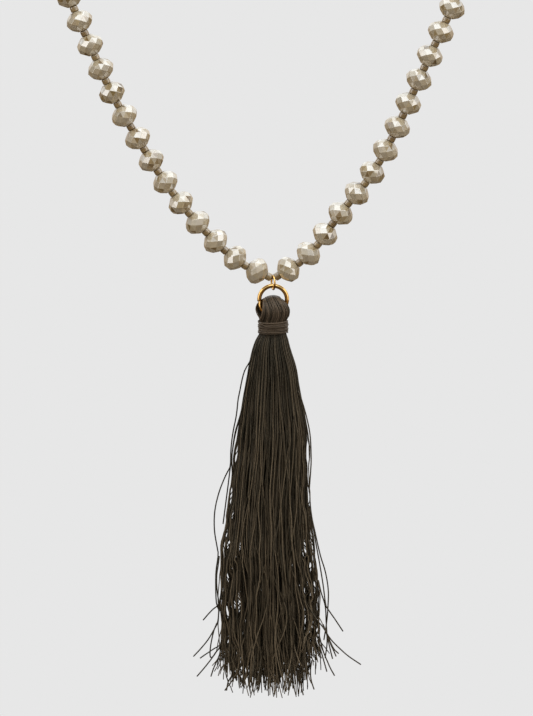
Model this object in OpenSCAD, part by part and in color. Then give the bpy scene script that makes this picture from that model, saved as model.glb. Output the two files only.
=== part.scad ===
// Tassel necklace: faceted glass rondelles on a thread, worn round a neck, with a
// long thread tassel that hangs from two gold jump rings at the bottom of the V.
// Millimetres. The origin is where the strand rests on the nape, +Z is up and the
// wearer faces -Y.

/* [Glass beads] */
// Diameter of a rondelle across its girdle corners
bead_d = 8.2; // [6:0.1:9]
// Thickness of a rondelle along its hole
bead_h = 6; // [4:0.1:7]
// Facets round the girdle
bead_sides = 8; // [6:1:10]
// Diameter of the drilled hole
bead_bore_d = 1.1; // [1:0.05:1.5]
// Height of a girdle diamond, as a share of the thickness
diamond_share = 0.38; // [0.3:0.01:0.45]
// Height of the upper kites' side corners, as a share of half the thickness
kite_share = 0.65; // [0.55:0.01:0.75]

/* [Strand] */
// Drop from the nape down to the lowest point of the V
strand_drop = 190; // [150:1:320]
// Depth from the nape forward to the lowest point of the V
strand_depth = 114; // [90:1:140]
// Width of the strand at its widest, from bead middle to bead middle
strand_w = 155; // [130:1:200]
// Diameter of the thread through the beads
thread_d = 0.6; // [0.4:0.05:0.8]
// Room that a seed bead takes between two rondelles
seed_room = 1.8; // [1.4:0.05:2.4]
// Room for the connecting ring between the two lowest seed beads
ring_room = 1.25; // [1.1:0.05:2]
// Turn of each rondelle on the thread after the one before it
bead_spin = 27.8; // [0:0.1:45]

/* [Connecting ring] */
// Outer diameter of the small jump ring on the thread
link_d = 4.6; // [4.5:0.1:5.5]
// Wire of the small jump ring
link_wire = 0.6; // [0.5:0.05:0.7]
// How far the small ring is turned from square across the thread
link_turn = 14; // [0:1:20]

/* [Tassel ring] */
// Outer diameter of the large jump ring
hoop_d = 9.6; // [9:0.1:11]
// Wire of the large jump ring
hoop_wire = 1.3; // [1:0.05:1.4]
// Where the large ring is cut, as an angle from the wearer's left
hoop_cut_at = 188; // [150:1:200]
// Width of the cut where a jump ring closes
ring_cut = 0.12; // [0.05:0.01:0.3]

/* [Tassel] */
// Height of the looped head above the tassel ring's lowest point
head_rise = 6; // [5:0.1:6.5]
// Width of the head at its widest
head_w = 10.4; // [9.5:0.1:12]
// Depth of the head from front to back
head_depth = 9.2; // [8.5:0.1:10]
// Diameter of the thread bundle under the binding
waist_d = 8.1; // [7:0.1:8.4]
// Height of the wound binding
binding_h = 4.2; // [3:0.1:6]
// Diameter of the thread that binds the neck
binding_thread = 0.46; // [0.3:0.02:0.6]
// Length of the skirt under the binding
skirt_len = 107.5; // [60:0.5:140]
// Width of the skirt at its widest
skirt_w = 31; // [20:0.5:40]
// Depth of the skirt from front to back
skirt_depth = 27; // [18:0.5:34]
// Locks round the outside of the skirt
lock_count = 18; // [12:1:20]

/* [Clearances] */
// Gap between parts that hang in each other
hang_gap = 0.1; // [0.08:0.01:0.15]
// Gap between the threads of the tassel and what they hold or wear
soft_gap = 0.15; // [0.1:0.01:0.2]

/* [Hidden] */
$fn = 48;

glass_colour = [0.62, 0.57, 0.48];
bead_thread_colour = [0.45, 0.39, 0.31];
gold_colour = [0.83, 0.62, 0.27];
silk_colour = [0.21, 0.19, 0.16];

// The strand's route, drawn at this width, depth and drop: from the lowest point of the
// V up the wearer's right side, round the nape and down the other side, smoothly
// through these points. It has a corner only at the lowest point, where the tassel
// pulls it down.
ROUTE_SIZE = [155, 114, 190];
ROUTE = [
    [0, -114, -190],
    [-11, -114.4, -184.2], [-22.1, -114.8, -173.5], [-31.5, -115, -161.8], [-39.7, -115, -148.7],
    [-47.8, -114.8, -134.5], [-53.7, -114.4, -121.4], [-60, -113.4, -106.9], [-66.6, -109.5, -89],
    [-72.6, -101, -70], [-76.8, -90, -51.5], [-79.5, -77, -34], [-79.5, -61, -21],
    [-77, -44.5, -11.5], [-71, -29, -6], [-60.5, -16, -3], [-45, -6.5, -1.5], [-23, -1.5, -0.5],
    [0, 0, 0],
    [22, -1.5, -0.5], [43, -6.5, -1.5], [57.5, -16, -3], [67.5, -29, -6], [73.5, -44.5, -11.5],
    [75.5, -61, -21], [75.5, -77, -34], [72.4, -90, -51.5], [67.6, -101, -70], [61.3, -109.5, -88],
    [55.7, -113.1, -103.1], [49.9, -114.3, -115.5], [43.3, -114.7, -130.1], [37.2, -115, -143.7],
    [29.6, -115, -158], [20.1, -114.8, -170], [10.6, -114.4, -182.7],
    [0, -114, -190]
];
// Short steps between two of the route's points
ROUTE_STEPS = 8;
// No stretch of the strand runs along this direction, so it can carry the thread's sides
THREAD_REFERENCE = [0, 1, -1];
THREAD_SIDES = 6;

function unit(v) = v / norm(v);
function total(list, i = 0) = i == len(list) ? 0 : list[i] + total(list, i + 1);

// Catmull-Rom curve through four neighbouring points, from b at t = 0 to c at t = 1
function curve(a, b, c, d, t) =
    b + t / 2 * (c - a) + t * t / 2 * (2 * a - 5 * b + 4 * c - d)
    + t * t * t / 2 * (3 * b - a - 3 * c + d);
function ring_item(list, i) = list[(i + len(list)) % len(list)];

route = [
    for (p = ROUTE) [p.x * strand_w / ROUTE_SIZE.x, p.y * strand_depth / ROUTE_SIZE.y, p.z * strand_drop / ROUTE_SIZE.z]
];
route_end = len(route) - 1;
// The route's points with one more beyond each end, straight on from the last two
guides = concat([2 * route[0] - route[1]], route, [2 * route[route_end] - route[route_end - 1]]);
route_line = [
    for (i = [0 : route_end - 1], k = [0 : ROUTE_STEPS - 1])
        curve(guides[i], guides[i + 1], guides[i + 2], guides[i + 3], k / ROUTE_STEPS),
    route[route_end]
];
route_lengths = [
    for (i = 0, s = 0; i < len(route_line);
         s = s + (i < len(route_line) - 1 ? norm(route_line[i + 1] - route_line[i]) : 0), i = i + 1) s
];
route_length = route_lengths[len(route_lengths) - 1];
route_table = [for (axis = [0 : 2]) [for (i = [0 : len(route_line) - 1]) [route_lengths[i], route_line[i][axis]]]];
function on_route(s) = [for (table = route_table) lookup(s, table)];

// A rondelle and one seed bead make one pitch. The pitch is eased a little so that
// whole beads fill the loop.
first_seed = (ring_room + seed_room) / 2;
bead_count = round((route_length - 2 * first_seed) / (bead_h + seed_room));
pitch = (route_length - 2 * first_seed) / bead_count;
seed_points = [for (i = [0 : bead_count]) on_route(first_seed + i * pitch)];

// The lowest point of the strand, which everything under it hangs from
drop = route[0];

// How steeply the thread leaves the small ring, on the steeper side
function climb(to) = atan((to - drop).z / abs((to - drop).x));
thread_climb = max(climb(seed_points[0]), climb(seed_points[bead_count]));

link_r = (link_d - link_wire) / 2;
link_z = drop.z + (thread_d / 2 + hang_gap + link_wire / 2) / cos(thread_climb) - link_r;
hoop_r = (hoop_d - hoop_wire) / 2;
hoop_top = link_z - link_d / 2 + link_wire + hang_gap + hoop_wire;
hoop_z = hoop_top - hoop_d / 2;
hoop_bottom = hoop_z - hoop_d / 2;

head_top = hoop_bottom + head_rise;
waist_top = hoop_bottom - 1.1 * hoop_wire;
skirt_top = waist_top - binding_h;
skirt_bottom = skirt_top - skirt_len;
binding_inner = waist_d / 2 + soft_gap;
binding_turns = floor(binding_h / binding_thread);
binding_pitch = binding_h / binding_turns;

// Head sections from the waist up: height as a share of the head's height, then
// half width and half depth as shares of the head's own half width and half depth
HEAD = [
    // height, width, depth
    [0.00, 0.86, 0.94],
    [0.18, 0.96, 1.00],
    [0.36, 1.00, 1.00],
    [0.58, 0.93, 0.92],
    [0.80, 0.66, 0.72],
    [0.94, 0.50, 0.44],
    [1.00, 0.30, 0.20]
];
// Skirt sections from the binding down: depth down the skirt as a share of its
// length, half width as a share of the skirt's half width, lock thickness likewise
SKIRT = [
    // down, width, thickness
    [0.00, 0.27, 0.08],
    [0.05, 0.41, 0.10],
    [0.18, 0.61, 0.13],
    [0.36, 0.78, 0.15],
    [0.62, 0.94, 0.16],
    [0.88, 1.00, 0.16],
    [1.00, 0.90, 0.10]
];
// Inner locks that fill the middle of the skirt's lower end
INNER_LOCKS = 7;
// How much a lock's length differs from its neighbour's, as a share of the skirt
LOCK_STAGGER = 0.022;
// Turn of the stagger from one lock to the next, so that no two neighbours match
LOCK_TURN = 137.5;
LOCK_SIDES = 8;
HEAD_SIDES = 20;

// Facet corners of a rondelle, as one list of rings from the top table down
bead_r = bead_d / 2;
half_turn = 180 / bead_sides;
flat_r = bead_r * cos(half_turn);
diamond_z = bead_h * diamond_share / 2;
kite_z = bead_h * kite_share / 2;
kite_slope = (bead_r - flat_r * cos(half_turn)) / diamond_z;
kite_r = bead_r - kite_slope * kite_z;
table_slope = (flat_r - kite_r * cos(half_turn)) / (kite_z - diamond_z);
table_r = flat_r - table_slope * (bead_h / 2 - diamond_z);
function facet_ring(r, z, offset) = [
    for (i = [0 : bead_sides - 1]) [r * cos(half_turn * (2 * i + offset)), r * sin(half_turn * (2 * i + offset)), z]
];
bead_points = concat(
    facet_ring(table_r, bead_h / 2, 1), facet_ring(kite_r, kite_z, 0), facet_ring(flat_r, diamond_z, 1),
    facet_ring(bead_r, 0, 0),
    facet_ring(flat_r, -diamond_z, 1), facet_ring(kite_r, -kite_z, 0), facet_ring(table_r, -bead_h / 2, 1)
);
// Corner i of ring k, counted round
function corner(k, i) = k * bead_sides + (i + bead_sides) % bead_sides;
bead_faces = concat(
    [[for (i = [bead_sides - 1 : -1 : 0]) corner(0, i)]],
    [for (i = [0 : bead_sides - 1]) [corner(1, i), corner(0, i - 1), corner(0, i)]],
    [for (i = [0 : bead_sides - 1]) [corner(0, i), corner(2, i), corner(1, i)]],
    [for (i = [0 : bead_sides - 1]) [corner(0, i), corner(1, i + 1), corner(2, i)]],
    [for (i = [0 : bead_sides - 1]) [corner(1, i), corner(2, i), corner(3, i), corner(2, i - 1)]],
    [for (i = [0 : bead_sides - 1]) [corner(2, i), corner(3, i + 1), corner(4, i), corner(3, i)]],
    [for (i = [0 : bead_sides - 1]) [corner(3, i), corner(4, i), corner(5, i), corner(4, i - 1)]],
    [for (i = [0 : bead_sides - 1]) [corner(4, i), corner(6, i), corner(5, i)]],
    [for (i = [0 : bead_sides - 1]) [corner(4, i), corner(5, i + 1), corner(6, i)]],
    [for (i = [0 : bead_sides - 1]) [corner(5, i), corner(6, i), corner(6, i - 1)]],
    [[for (i = [0 : bead_sides - 1]) corner(6, i)]]
);

module rondelle() {
    difference() {
        polyhedron(points = bead_points, faces = bead_faces, convexity = 2);
        cylinder(d = bead_bore_d, h = bead_h + 1, center = true);
    }
}

// Stands its children on a point, with their Z axis along a direction
module along(point, direction) {
    translate(point)
        rotate([0, acos(unit(direction).z), atan2(direction.y, direction.x)])
            children();
}

module glass_beads() {
    color(glass_colour)
        for (i = [0 : bead_count - 1]) {
            here = seed_points[i];
            next = seed_points[i + 1];
            along((here + next) / 2, next - here)
                rotate([0, 0, i * bead_spin])
                    rondelle();
        }
}

// The thread runs straight through each bead and bends where the seed beads are
thread_line = concat([drop], seed_points);
function thread_ring(i) =
    let (before = ring_item(thread_line, i - 1), here = thread_line[i], after = ring_item(thread_line, i + 1),
         forward = unit(unit(here - before) + unit(after - here)),
         side = unit(cross(forward, THREAD_REFERENCE)),
         out = cross(forward, side))
    [for (k = [0 : THREAD_SIDES - 1])
        here + thread_d / 2 * (cos(360 * k / THREAD_SIDES) * side + sin(360 * k / THREAD_SIDES) * out)];

module bead_thread() {
    rings = len(thread_line);
    points = [for (i = [0 : rings - 1]) each thread_ring(i)];
    function at(i, k) = (i % rings) * THREAD_SIDES + k % THREAD_SIDES;
    faces = [
        for (i = [0 : rings - 1], k = [0 : THREAD_SIDES - 1]) each [
            [at(i, k), at(i, k + 1), at(i + 1, k + 1)],
            [at(i, k), at(i + 1, k + 1), at(i + 1, k)]
        ]
    ];
    color(bead_thread_colour)
        polyhedron(points = points, faces = faces, convexity = 10);
}

// An arc of round wire about Z, from one angle through a sweep
module wire_arc(r, wire, from, sweep) {
    rotate([0, 0, from])
        rotate_extrude(angle = sweep)
            translate([r, 0])
                circle(d = wire);
}

// The small ring hangs on the thread, and is cut where it closes at the back
module connecting_ring() {
    cut = 2 * asin(ring_cut / 2 / link_r);
    color(gold_colour)
        translate([drop.x, drop.y, link_z])
            rotate([0, 0, link_turn])
                rotate([0, 90, 0])
                    wire_arc(link_r, link_wire, 90 + cut / 2, 360 - cut);
}

// The large ring hangs in the small one, and is cut where it closes on one side
module tassel_ring() {
    cut = 2 * asin(ring_cut / 2 / hoop_r);
    color(gold_colour)
        translate([drop.x, drop.y, hoop_z])
            rotate([90, 0, 0])
                wire_arc(hoop_r, hoop_wire, hoop_cut_at + cut / 2, 360 - cut);
}

// A closed solid through oval sections, each [centre, half width, half depth]
module loft(sections, sides) {
    rings = len(sections);
    points = [
        for (s = sections, k = [0 : sides - 1])
            s[0] + [s[1] * cos(360 * k / sides), s[2] * sin(360 * k / sides), 0]
    ];
    function at(i, k) = i * sides + k % sides;
    walls = [
        for (i = [0 : rings - 2], k = [0 : sides - 1]) each [
            [at(i, k), at(i + 1, k + 1), at(i, k + 1)],
            [at(i, k), at(i + 1, k), at(i + 1, k + 1)]
        ]
    ];
    bottom = [for (k = [0 : sides - 1]) at(0, k)];
    top = [for (k = [sides - 1 : -1 : 0]) at(rings - 1, k)];
    polyhedron(points = points, faces = concat([bottom], walls, [top]), convexity = 4);
}

// The bundle of threads folded over the ring, down to the waist under the binding
module tassel_head() {
    head_h = head_top - waist_top;
    difference() {
        loft([for (h = HEAD) [[drop.x, drop.y, waist_top + h[0] * head_h], h[1] * head_w / 2, h[2] * head_depth / 2]],
             HEAD_SIDES);
        translate([drop.x, drop.y, hoop_z])
            rotate([90, 0, 0])
                rotate_extrude($fn = 40)
                    translate([hoop_r, 0])
                        circle(d = hoop_wire + 2 * soft_gap, $fn = 12);
    }
}

// One flat oval section of a lock, at a share of the way down the skirt
module lock_section(azimuth, row, reach, spread, stagger) {
    down = row[0] * (1 + stagger);
    radius = reach * row[1];
    thick = row[2] * skirt_w / 2;
    wide = spread * row[1] * skirt_w / 2 * (row[0] == 1 ? 0.55 : 1);
    translate([drop.x + (radius * skirt_w / 2 - thick) * cos(azimuth),
               drop.y + (radius * skirt_depth / 2 - thick) * sin(azimuth),
               skirt_top - down * skirt_len])
        rotate([0, 0, azimuth])
            scale([thick, wide, 1])
                cylinder(r = 1, h = 0.01, $fn = LOCK_SIDES);
}

module lock(azimuth, reach, spread, stagger, first = 0) {
    for (i = [first : len(SKIRT) - 2])
        hull() {
            lock_section(azimuth, SKIRT[i], reach, spread, stagger);
            lock_section(azimuth, SKIRT[i + 1], reach, spread, stagger);
        }
}

module tassel() {
    spread = 1.25 * PI / lock_count;
    core = 0.8;
    color(silk_colour)
        union() {
            tassel_head();
            translate([drop.x, drop.y, skirt_top - 0.5])
                cylinder(d = waist_d, h = binding_h + 1, $fn = HEAD_SIDES);
            loft([for (i = [len(SKIRT) - 2 : -1 : 0])
                     [[drop.x, drop.y, skirt_top - SKIRT[i][0] * skirt_len],
                      core * SKIRT[i][1] * skirt_w / 2, core * SKIRT[i][1] * skirt_depth / 2]],
                 HEAD_SIDES);
            for (i = [0 : lock_count - 1])
                lock(360 * i / lock_count, 1, spread, LOCK_STAGGER * sin(i * LOCK_TURN));
            for (i = [0 : INNER_LOCKS - 1])
                lock(360 * i / INNER_LOCKS, 0.55, 2.4 * spread, LOCK_STAGGER * cos(i * LOCK_TURN), len(SKIRT) - 3);
        }
}

// Turns of thread wound tight round the waist, as one ribbed band
module neck_binding() {
    color(silk_colour)
        translate([drop.x, drop.y, skirt_top])
            rotate_extrude() {
                translate([binding_inner, 0])
                    square([binding_thread / 2, binding_h]);
                for (i = [0 : binding_turns - 1])
                    translate([binding_inner + binding_thread / 2, (i + 0.5) * binding_pitch])
                        circle(d = binding_pitch);
            }
}

glass_beads();
bead_thread();
connecting_ring();
tassel_ring();
tassel();
neck_binding();
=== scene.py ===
"""Dresses a tassel necklace: glass rondelles and seed beads on a thread, two gold jump
rings, and a long thread tassel bound at its neck. It builds round the frame's solids."""
import math

import bpy
import numpy as np
from bpy.props import FloatProperty, FloatVectorProperty, IntProperty, PointerProperty
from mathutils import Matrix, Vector


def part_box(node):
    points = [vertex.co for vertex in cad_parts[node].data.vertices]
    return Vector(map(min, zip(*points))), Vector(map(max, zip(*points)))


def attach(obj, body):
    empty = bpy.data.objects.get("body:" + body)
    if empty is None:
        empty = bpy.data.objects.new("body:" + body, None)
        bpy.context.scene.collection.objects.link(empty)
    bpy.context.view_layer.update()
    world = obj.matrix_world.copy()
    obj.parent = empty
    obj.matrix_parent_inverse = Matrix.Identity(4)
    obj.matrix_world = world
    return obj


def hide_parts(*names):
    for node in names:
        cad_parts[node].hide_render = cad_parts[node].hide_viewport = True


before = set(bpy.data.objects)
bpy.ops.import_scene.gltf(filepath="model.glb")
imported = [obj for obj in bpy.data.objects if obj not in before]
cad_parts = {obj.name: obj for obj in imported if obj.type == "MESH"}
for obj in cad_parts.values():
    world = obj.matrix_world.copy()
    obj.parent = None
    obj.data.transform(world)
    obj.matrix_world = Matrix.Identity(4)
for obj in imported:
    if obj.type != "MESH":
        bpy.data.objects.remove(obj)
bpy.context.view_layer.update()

bl_info = {
    "name": "Tassel Necklace",
    "version": (1, 0, 0),
    "blender": (4, 5, 0),
    "location": "View3D > Sidebar > Necklace",
    "description": "Faceted glass beads on a thread, with a thread tassel hung from two jump rings",
    "category": "Object",
}

MM = 0.001

# The strand's route in millimetres, as in the frame's source: from the lowest point of
# the V up the wearer's right side, round the nape and down the other side
ROUTE = np.array([
    [0, -114, -190],
    [-11, -114.4, -184.2], [-22.1, -114.8, -173.5], [-31.5, -115, -161.8], [-39.7, -115, -148.7],
    [-47.8, -114.8, -134.5], [-53.7, -114.4, -121.4], [-60, -113.4, -106.9], [-66.6, -109.5, -89],
    [-72.6, -101, -70], [-76.8, -90, -51.5], [-79.5, -77, -34], [-79.5, -61, -21],
    [-77, -44.5, -11.5], [-71, -29, -6], [-60.5, -16, -3], [-45, -6.5, -1.5], [-23, -1.5, -0.5],
    [0, 0, 0],
    [22, -1.5, -0.5], [43, -6.5, -1.5], [57.5, -16, -3], [67.5, -29, -6], [73.5, -44.5, -11.5],
    [75.5, -61, -21], [75.5, -77, -34], [72.4, -90, -51.5], [67.6, -101, -70], [61.3, -109.5, -88],
    [55.7, -113.1, -103.1], [49.9, -114.3, -115.5], [43.3, -114.7, -130.1], [37.2, -115, -143.7],
    [29.6, -115, -158], [20.1, -114.8, -170], [10.6, -114.4, -182.7],
    [0, -114, -190],
])
ROUTE_STEPS = 8
# The route never runs along this direction, so it can carry the sides of a tube
STRAND_SIDE = (0, 1, -1)
# Length of a rondelle, and the room for a seed bead and for the small ring, along the thread
BEAD_LENGTH = 6
SEED_ROOM = 1.8
RING_ROOM = 1.25

DROP = ROUTE[0]
ACROSS = (1, 0, 0)
FORE_AFT = (0, 1, 0)
UPWARDS = (0, 0, 1)

# A cut end is this much narrower than its thread or wire
CUT_END = 0.92
# Steps of this size never line up, whether of twists or of tones
GOLDEN_STEP = 0.618

# Skirt sections: the share of the way down, the half width and half depth as a share of the largest,
# and how far the middle drifts to the wearer's right, in mm
SKIRT = np.array([
    # down, half, drift
    [0.00, 0.256, 0.1],
    [0.012, 0.305, 0.3],
    [0.04, 0.370, 0.5],
    [0.10, 0.485, 0.2],
    [0.16, 0.560, 0.3],
    [0.22, 0.632, 0.2],
    [0.29, 0.706, 0.2],
    [0.40, 0.765, 0.95],
    [0.52, 0.832, 1.4],
    [0.60, 0.900, 1.5],
    [0.68, 0.930, 1.3],
    [0.82, 0.955, 1.0],
    [0.94, 0.965, 0.5],
    [1.04, 0.965, 0.2],
])
# Narrow partings in the skirt, where the backdrop shows between its threads: the place across as a
# share of the half width, the gap's half width in mm, where it starts and ends as shares of the way
# down, and how far one opening lies from the next, in mm
PARTINGS = np.array([
    # place, gap, first, last, wave
    [-0.92, 0.28, 0.22, 0.70, 13.0],
    [-0.84, 0.42, 0.46, 1.04, 10.1],
    [-0.76, 0.38, 0.60, 0.94, 11.9],
    [-0.68, 0.38, 0.58, 1.04, 14.7],
    [-0.61, 0.46, 0.56, 1.02, 19.3],
    [0.73, 0.40, 0.56, 1.00, 10.3],
    [0.80, 0.44, 0.52, 1.04, 12.6],
    [0.87, 0.44, 0.60, 1.02, 9.1],
    [0.94, 0.30, 0.24, 0.98, 14.2],
])
# Waves in the skirt's threads: how far they swing in mm, the shortest and the longest wave in mm,
# and the power by which they grow on the way down
WAVES = [
    # swing, shortest, longest, growth
    (0.9, 38, 90, 1.0),
    (0.22, 12, 26, 0.6),
    (0.05, 5, 9, 0.3),
]
# Head sections, from inside the binding up: the height over the waist as a share of the head's, then
# how far the threads reach to the wearer's right and left on the front and on the back, and how far
# front and back, in mm from the head's middle. On the front they keep clear of the large ring's
# right side, so that it shows there.
HEAD = np.array([
    # height, front right, front left, back right, back left, depth
    [-0.50, -3.8, 3.8, -3.8, 3.8, 3.8],
    [0.00, -3.95, 3.95, -3.95, 3.9, 3.9],
    [0.20, -3.5, 4.8, -4.7, 4.6, 4.4],
    [0.40, -3.15, 5.2, -5.1, 4.7, 4.6],
    [0.60, -2.95, 4.9, -4.8, 4.4, 4.2],
    [0.80, -2.9, 4.2, -4.0, 3.8, 3.2],
    [0.95, -2.9, 3.3, -3.4, 3.2, 1.5],
    [1.00, -3.0, 3.0, -3.1, 3.0, 0.0],
])
# Threads that stand away from the skirt: each runs through points given as mm across
# from the drop and mm under it, then how far in front of the drop's middle it lies
STRAYS = [
    ([(-5, -20), (-6.8, -24.5), (-8.5, -27.5), (-9.4, -30.6), (-10, -33.7), (-10.6, -36.7), (-10.9, -39.8),
      (-11.3, -42.5), (-11.9, -45.4), (-12.4, -48.4), (-12.8, -52.5), (-13, -57.2), (-14.3, -59.8),
      (-16.4, -65.2), (-17.7, -71.1), (-17.8, -77), (-17, -82.2), (-16.7, -84.7), (-17.4, -90.3),
      (-17.4, -97.5), (-17.1, -100.3), (-16.3, -102.2)], 2),
    ([(-8.2, -35), (-10, -41.5), (-11.4, -46.2), (-12.1, -50.5), (-12.5, -54.8), (-12.3, -60)], 3),
    ([(-7.4, -31), (-9.2, -38.5), (-10.4, -43.5), (-11.6, -48.2), (-12.5, -54), (-13.6, -62.8),
      (-14.4, -69), (-15.2, -75.2)], 1),
    ([(-16.3, -84.3), (-16.7, -87.4), (-17.1, -90.2), (-17.1, -93.6), (-16.7, -97.3), (-15.9, -101.5),
      (-15, -105)], 5),
    ([(-14.6, -94), (-15.7, -97.8), (-17, -100), (-18.3, -101.1), (-19.8, -102.7), (-21.3, -104.5)], 4),
    ([(-15.2, -92), (-16.1, -98), (-16.5, -102), (-16.9, -105.4), (-18, -107.7), (-19.8, -110.8),
      (-22.1, -113.7), (-24.3, -116.1)], 3),
    ([(-15.7, -111.2), (-16.3, -112.8), (-18, -113.9), (-20.2, -115.4), (-22.3, -116.9)], 2),
    ([(-15.8, -111.1), (-16.4, -112.7), (-17.6, -114.3), (-18.7, -116), (-21, -119), (-23.2, -121.6)], 6),
    ([(-17.1, -105.4), (-18, -107.7), (-18.7, -110.7), (-19.1, -113.2), (-19.2, -115.4), (-18.9, -116.2),
      (-18.1, -115.6), (-17.1, -114.1), (-16.2, -113.2)], 4),
    ([(-16, -113), (-16.3, -115.8), (-17.3, -118.3), (-18.2, -120.4), (-19, -122.9)], 1),
    ([(11.2, -68.5), (11.8, -73.2), (12.6, -76.9), (14.3, -84.5), (15.9, -89.9), (16.8, -95.6),
      (16.7, -101.2), (16.3, -105.9), (15.5, -111.2)], 2),
    ([(11.3, -70.2), (12.8, -79.5), (14.1, -86.7), (15.2, -93.5), (16, -99.6), (16.8, -101.2),
      (18.9, -104.3), (21.3, -108)], 4),
    ([(13.8, -92.7), (14.6, -96.4), (15.9, -100.8), (16.2, -105.8), (16.5, -112.1), (15.9, -117.1)], 1),
    ([(7.8, -92.9), (10, -98), (13, -103), (15.1, -105.7), (17.6, -109.6), (20.8, -112.9), (23.1, -114.9),
      (26.7, -117.4)], 8),
    ([(15.2, -105.5), (16.1, -108), (16.9, -109.8), (17.6, -111.9), (18.5, -113.9), (19.2, -115.6)], 5),
    ([(15.5, -106.9), (16.5, -109.2), (17.5, -111.6), (18.6, -113.8), (20, -115.2)], 3),
    ([(15.8, -106.5), (16.5, -109.3), (17.1, -111.9), (17.6, -114.1), (18.1, -116.1)], 6),
    ([(13.9, -109), (15.1, -113.9), (15.8, -116), (16.6, -117.9), (17.5, -120), (18.8, -122.4)], 2),
    ([(13.5, -110.7), (14.5, -113.8), (15.8, -118.4), (16.4, -120.6)], 4),
    ([(7.5, -33.8), (8.6, -36.5), (10.2, -42.2), (11.2, -47.6), (11.5, -54.1), (11.4, -57.8),
      (10.9, -64.9)], 3),
    ([(-12.8, -115.1), (-13.1, -118.3), (-12.5, -121.1), (-13.7, -123.6), (-14.2, -126.3)], 5),
    ([(-10, -114.4), (-10.4, -118.5), (-11.9, -121.6), (-13.7, -124.1), (-14.7, -125.5)], 8),
    ([(9.1, -114.2), (8.9, -118.2), (8.4, -121.3), (8.6, -124.1), (9.2, -126.7)], 9),
    ([(11.8, -116.5), (11.4, -119.6), (11.6, -122.7), (12.5, -125.7)], 6),
]


def linear(hex_colour):
    """An sRGB hex colour as linear RGBA."""
    srgb = [int(hex_colour[i:i + 2], 16) / 255 for i in (1, 3, 5)]
    return tuple(c / 12.92 if c <= 0.04045 else ((c + 0.055) / 1.055) ** 2.4 for c in srgb) + (1.0,)


def colour(name, hex_colour, description):
    """A colour property that starts from an sRGB hex value."""
    return FloatVectorProperty(name=name, description=description, subtype="COLOR", size=4, min=0, max=1,
                               default=linear(hex_colour))


def length(name, millimetres, description):
    """A length property, in Blender's metres, from a size in millimetres."""
    return FloatProperty(name=name, description=description, default=millimetres * MM, min=0, unit="LENGTH",
                         precision=5)


class GlassSettings(bpy.types.PropertyGroup):
    """Sizes and colours of the rondelles, the seed beads and their thread"""
    edge: length("Facet edge", 0.07, "Width of the fire-polished edge between two facets")
    seed_width: length("Seed bead diameter", 2.4, "Diameter of a seed bead")
    seed_length: length("Seed bead length", 1.78, "Length of a seed bead along the thread")
    seed_bore: length("Seed bead hole", 0.8, "Diameter of a seed bead's hole")
    thread_width: length("Thread", 0.56, "Diameter of the thread through the beads")
    dark: colour("Rondelle, darker", "#9B7D50", "The darker of the rondelles' glass colours")
    light: colour("Rondelle, lighter", "#C0A675", "The lighter of the rondelles' glass colours")
    seed: colour("Seed bead", "#806640", "Colour of the seed beads")
    thread: colour("Thread colour", "#6E5F49", "Colour of the thread through the beads")


class RingSettings(bpy.types.PropertyGroup):
    """Sizes and colour of the two jump rings"""
    link_wire: length("Small ring wire", 0.6, "Wire of the small jump ring")
    link_turn: FloatProperty(name="Small ring turn", default=math.radians(14), subtype="ANGLE",
                             description="How far the small ring is turned on the thread")
    step: length("End step", 0.3, "How far the large ring's upper wire end stands outside the lower one")
    cut: length("Cut", 0.14, "Gap between a ring's two wire ends")
    gold: colour("Gold", "#FBCB7C", "Colour of the gold plating")


class TasselSettings(bpy.types.PropertyGroup):
    """Sizes, counts and colours of the tassel's threads"""
    thread_width: length("Tassel thread", 0.31, "Diameter of one thread of the tassel")
    winding_width: length("Winding thread", 0.46, "Diameter of the thread wound round the neck")
    skirt_threads: IntProperty(name="Skirt threads", default=760, min=50, description="Threads in the skirt")
    head_threads: IntProperty(name="Head threads", default=48, min=8,
                              description="Threads side by side over the ring, in one layer")
    dark: colour("Thread, darker", "#1C1911", "The darker of the tassel threads' colours")
    light: colour("Thread, lighter", "#645643", "The lighter of the tassel threads' colours")
    bent: colour("Thread, bent", "#625241", "The lighter colour where the threads are folded or wound")


class StudioSettings(bpy.types.PropertyGroup):
    """Camera, light and floor"""
    distance: length("Camera distance", 1300, "How far the camera stands from the tassel")
    frame_height: length("Frame height", 216.2, "Height that the picture takes in at the tassel")
    above: FloatProperty(name="Camera angle", default=math.radians(10), subtype="ANGLE",
                         description="How steeply the camera looks down on the tassel")
    top_light: FloatProperty(name="Top light", default=8.7, unit="POWER",
                             description="Power of the overhead softbox")
    side_light: FloatProperty(name="Side light", default=4.0, unit="POWER",
                              description="Power of each side softbox")
    backdrop: colour("Backdrop", "#E7E7E7", "Colour of the backdrop, as the camera sees it")
    floor: colour("Floor", "#C8C3BF", "Colour of the paper on the floor")


def add_node(tree, kind, inputs=None, **settings):
    """Adds one node with its settings; each input is a value, or another node's output to link."""
    made = tree.nodes.new(kind)
    for name, value in settings.items():
        setattr(made, name, value)
    for name, value in (inputs or {}).items():
        if isinstance(value, bpy.types.NodeSocket):
            tree.links.new(value, made.inputs[name])
        else:
            made.inputs[name].default_value = value
    return made


def new_material(name):
    """A new material, its emptied node tree and the tree's output node."""
    material = bpy.data.materials.new(name)
    material.use_nodes = True
    material.node_tree.nodes.clear()
    return material, material.node_tree, material.node_tree.nodes.new("ShaderNodeOutputMaterial")


def per_metre(millimetres):
    """The texture scale that gives a pattern of this size."""
    return 1 / (millimetres * MM)


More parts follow.
